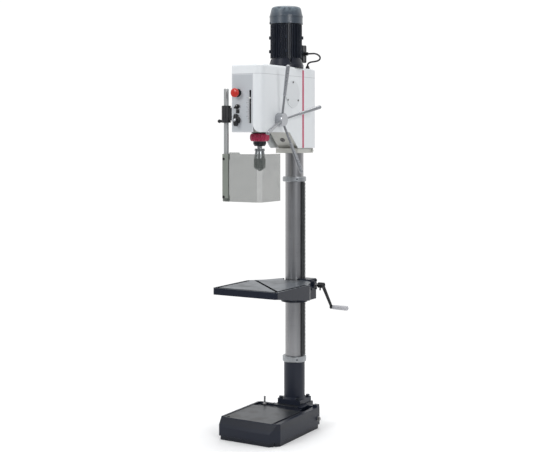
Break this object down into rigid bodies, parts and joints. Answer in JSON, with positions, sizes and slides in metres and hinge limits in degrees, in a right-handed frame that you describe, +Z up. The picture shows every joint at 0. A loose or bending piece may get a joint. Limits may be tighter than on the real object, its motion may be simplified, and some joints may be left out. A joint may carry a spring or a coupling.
{
  "type": "pillar drill press",
  "caption": "Floor-standing pillar drill press: gear head with the motor on top, four-spoke feed capstan, bent clear guard, table with crank on a racked column, and a cast base.",
  "frame": {"origin": "centre of the four floor bolts, on the underside of the base", "axes": "+Z up, operator's side towards -Y, feed capstan and table crank on +X"},
  "size_m": [0.409, 0.6142, 1.93],
  "materials": {
    "slate": "semi-gloss dark slate enamel on cast iron",
    "column": "turned and ground",
    "steel": "machined",
    "dark_steel": "blackened",
    "white": "smooth white powder coat",
    "panel": "light grey-violet printed panel",
    "beige": "beige-grey enamel on cast iron",
    "crimson": "crimson enamel",
    "black": "fine-grained black plastic",
    "red": "smooth red plastic",
    "motor": "dark blue-slate enamel",
    "grey_lever": "grey lever grips",
    "cable": "black rubber sheath",
    "smoke": "smoke-grey clear polycarbonate",
    "aluminium": "satin"
  },
  "bodies": {
    "stand": {"base_casting": "slate", "base_fittings": "dark_steel", "column_flange": "slate", "column_fasteners": "steel", "column_tube": "column", "rack_rings": "column", "head_casting": "beige", "head_fasteners": "steel", "head_cover": "white", "head_top": "white", "front_panel": "panel", "scale_plate": "aluminium", "side_stripe": "crimson", "side_hatch": "white", "cable_glands": "black", "control_bezels": "aluminium", "spindle_collar": "black", "shaft_bearings": "steel", "motor_flange": "motor", "motor_body": "motor", "motor_stator": "steel", "motor_cowl": "motor", "motor_screws": "steel", "terminal_box": "motor", "motor_cable": "cable", "guard_bracket": "black"},
    "rack": {"column_rack": "steel"},
    "table": {"table_casting": "slate", "housing_cap": "slate"},
    "lift_gear": {"lift_pinion": "steel"},
    "crank": {"crank_shaft": "steel", "crank_arm": "black"},
    "crank_grip": {"crank_grip": "aluminium"},
    "lock_lever": {"lock_lever": "black"},
    "quill": {"quill": "steel", "quill_nose": "dark_steel", "quill_bearings": "steel", "depth_pointer": "aluminium"},
    "spindle": {"spindle": "steel", "chuck_body": "steel"},
    "chuck_sleeve": {"chuck_sleeve": "steel"},
    "jaw_a": {"chuck_jaw_a": "steel"},
    "jaw_b": {"chuck_jaw_b": "steel"},
    "jaw_c": {"chuck_jaw_c": "steel"},
    "capstan": {"capstan_hub": "grey_lever", "capstan_spokes": "steel", "capstan_grips": "grey_lever"},
    "drive_sleeve": {"drive_sleeve": "steel"},
    "layshaft_two": {"second_layshaft": "steel"},
    "layshaft_one": {"first_layshaft": "steel"},
    "rotor": {"motor_rotor": "steel"},
    "stop_ring": {"stop_ring": "crimson"},
    "guard_rod": {"guard_rod": "steel"},
    "guard": {"guard_shield": "smoke", "guard_clamp": "smoke"},
    "guard_knob": {"guard_knob": "black"},
    "estop": {"estop_button": "red"},
    "start_button": {"start_button": "black"},
    "rotary_switch": {"rotary_switch": "black"},
    "gear_selector": {"gear_selector": "black"}
  },
  "joints": [
    {"name": "table_swing", "type": "hinge", "parent": "stand", "child": "rack", "pos_m": [0, 0.24, 0], "axis": [0, 0, 1], "range_deg": [-110, 110]},
    {"name": "table_lift", "type": "slide", "parent": "rack", "child": "table", "axis": [0, 0, 1], "range_m": [-0.215, 0.335]},
    {"name": "lift_gear_turn", "type": "hinge", "parent": "table", "child": "lift_gear", "pos_m": [0.073, 0.24, 0.617], "axis": [0, 1, 0], "range_deg": [-960, 616]},
    {"name": "crank_turn", "type": "hinge", "parent": "table", "child": "crank", "pos_m": [0, 0.24, 0.6498], "axis": [1, 0, 0], "range_deg": [-4800, 3080]},
    {"name": "crank_grip_spin", "type": "hinge", "parent": "crank", "child": "crank_grip", "pos_m": [0, 0.3073, 0.5421], "axis": [1, 0, 0], "continuous": true},
    {"name": "lock_lever_turn", "type": "hinge", "parent": "table", "child": "lock_lever", "pos_m": [0, 0.314, 0.617], "axis": [1, 0, 0], "range_deg": [-40, 40]},
    {"name": "quill_feed", "type": "slide", "parent": "stand", "child": "quill", "axis": [0, 0, -1], "range_m": [0, 0.09]},
    {"name": "capstan_turn", "type": "hinge", "parent": "stand", "child": "capstan", "pos_m": [0, -0.03, 1.4087], "axis": [1, 0, 0], "range_deg": [0, 323]},
    {"name": "spindle_spin", "type": "hinge", "parent": "quill", "child": "spindle", "pos_m": [0, -0.072, 0], "axis": [0, 0, 1], "continuous": true},
    {"name": "chuck_sleeve_turn", "type": "hinge", "parent": "spindle", "child": "chuck_sleeve", "pos_m": [0, -0.072, 0], "axis": [0, 0, 1], "range_deg": [0, 1080]},
    {"name": "jaw_a_slide", "type": "slide", "parent": "spindle", "child": "jaw_a", "axis": [0.2241, 0.1294, 0.9659], "range_m": [0, 0.017]},
    {"name": "jaw_b_slide", "type": "slide", "parent": "spindle", "child": "jaw_b", "axis": [-0.2241, 0.1294, 0.9659], "range_m": [0, 0.017]},
    {"name": "jaw_c_slide", "type": "slide", "parent": "spindle", "child": "jaw_c", "axis": [0, -0.2588, 0.9659], "range_m": [0, 0.017]},
    {"name": "drive_sleeve_spin", "type": "hinge", "parent": "stand", "child": "drive_sleeve", "pos_m": [0, -0.072, 0], "axis": [0, 0, 1], "continuous": true},
    {"name": "layshaft_two_spin", "type": "hinge", "parent": "stand", "child": "layshaft_two", "pos_m": [0, 0.01, 0], "axis": [0, 0, 1], "continuous": true},
    {"name": "layshaft_one_spin", "type": "hinge", "parent": "stand", "child": "layshaft_one", "pos_m": [0, 0.095, 0], "axis": [0, 0, 1], "continuous": true},
    {"name": "rotor_spin", "type": "hinge", "parent": "stand", "child": "rotor", "pos_m": [0, 0.163, 0], "axis": [0, 0, 1], "continuous": true},
    {"name": "stop_ring_turn", "type": "hinge", "parent": "stand", "child": "stop_ring", "pos_m": [0, -0.072, 0], "axis": [0, 0, 1], "range_deg": [-170, 170]},
    {"name": "guard_height", "type": "slide", "parent": "stand", "child": "guard_rod", "axis": [0, 0, 1], "range_m": [0, 0.045]},
    {"name": "guard_swing", "type": "hinge", "parent": "guard_rod", "child": "guard", "pos_m": [-0.118, -0.161, 0], "axis": [0, 0, 1], "range_deg": [-100, 0]},
    {"name": "guard_knob_turn", "type": "hinge", "parent": "stand", "child": "guard_knob", "pos_m": [0, -0.161, 1.402], "axis": [1, 0, 0], "range_deg": [-180, 180]},
    {"name": "estop_press", "type": "slide", "parent": "stand", "child": "estop", "axis": [0, 1, 0], "range_m": [0, 0.006], "stiffness_N_per_m": 900},
    {"name": "start_press", "type": "slide", "parent": "stand", "child": "start_button", "axis": [0, 1, 0], "range_m": [0, 0.002], "stiffness_N_per_m": 700},
    {"name": "rotary_turn", "type": "hinge", "parent": "stand", "child": "rotary_switch", "pos_m": [-0.049, 0, 1.465], "axis": [0, 1, 0], "range_deg": [-45, 45]},
    {"name": "selector_turn", "type": "hinge", "parent": "stand", "child": "gear_selector", "pos_m": [-0.049, 0, 1.406], "axis": [0, 1, 0], "range_deg": [-120, 120]}
  ],
  "couplings": [
    {"joint": "lift_gear_turn", "follows": "table_lift", "rad_per_m": -50},
    {"joint": "crank_turn", "follows": "table_lift", "rad_per_m": -250},
    {"joint": "capstan_turn", "follows": "quill_feed", "rad_per_m": 62.5},
    {"joint": "drive_sleeve_spin", "follows": "spindle_spin", "ratio": 1},
    {"joint": "layshaft_two_spin", "follows": "spindle_spin", "ratio": -1.4118},
    {"joint": "layshaft_one_spin", "follows": "spindle_spin", "ratio": 2.8739},
    {"joint": "rotor_spin", "follows": "spindle_spin", "ratio": -8.6218},
    {"joint": "jaw_a_slide", "follows": "chuck_sleeve_turn", "m_per_rad": 0.0009},
    {"joint": "jaw_b_slide", "follows": "chuck_sleeve_turn", "m_per_rad": 0.0009},
    {"joint": "jaw_c_slide", "follows": "chuck_sleeve_turn", "m_per_rad": 0.0009}
  ]
}
